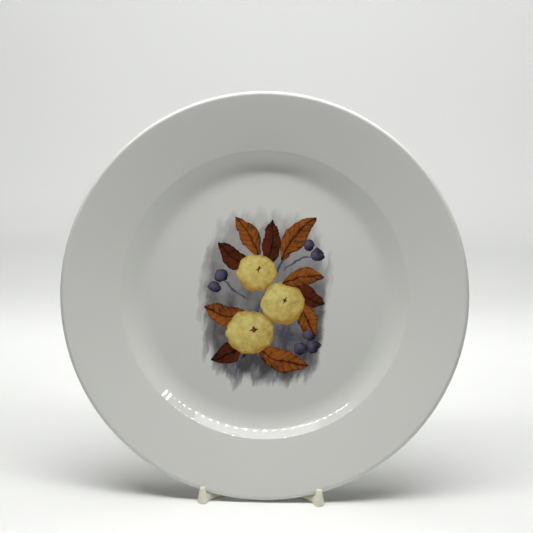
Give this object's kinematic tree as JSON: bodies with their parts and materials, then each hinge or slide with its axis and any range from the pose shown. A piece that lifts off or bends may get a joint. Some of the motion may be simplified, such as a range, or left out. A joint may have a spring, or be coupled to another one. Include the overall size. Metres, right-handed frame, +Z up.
{
  "type": "decorative plate",
  "caption": "Round white porcelain plate with a wide rim and a printed picture in its well, held upright on a small plastic display stand.",
  "frame": {"origin": "under the middle of the whole, at the level of the surface it stands on", "axes": "+Z up, the plate's face towards -Y, +X across the plate"},
  "size_m": [0.27, 0.105, 0.2654],
  "materials": {
    "glaze": "glossy white glaze over porcelain, with a printed decal in the well",
    "stand_plastic": "cream moulded plastic, satin"
  },
  "bodies": {
    "root": {"plate": "glaze", "stand": "stand_plastic"}
  },
  "joints": []
}
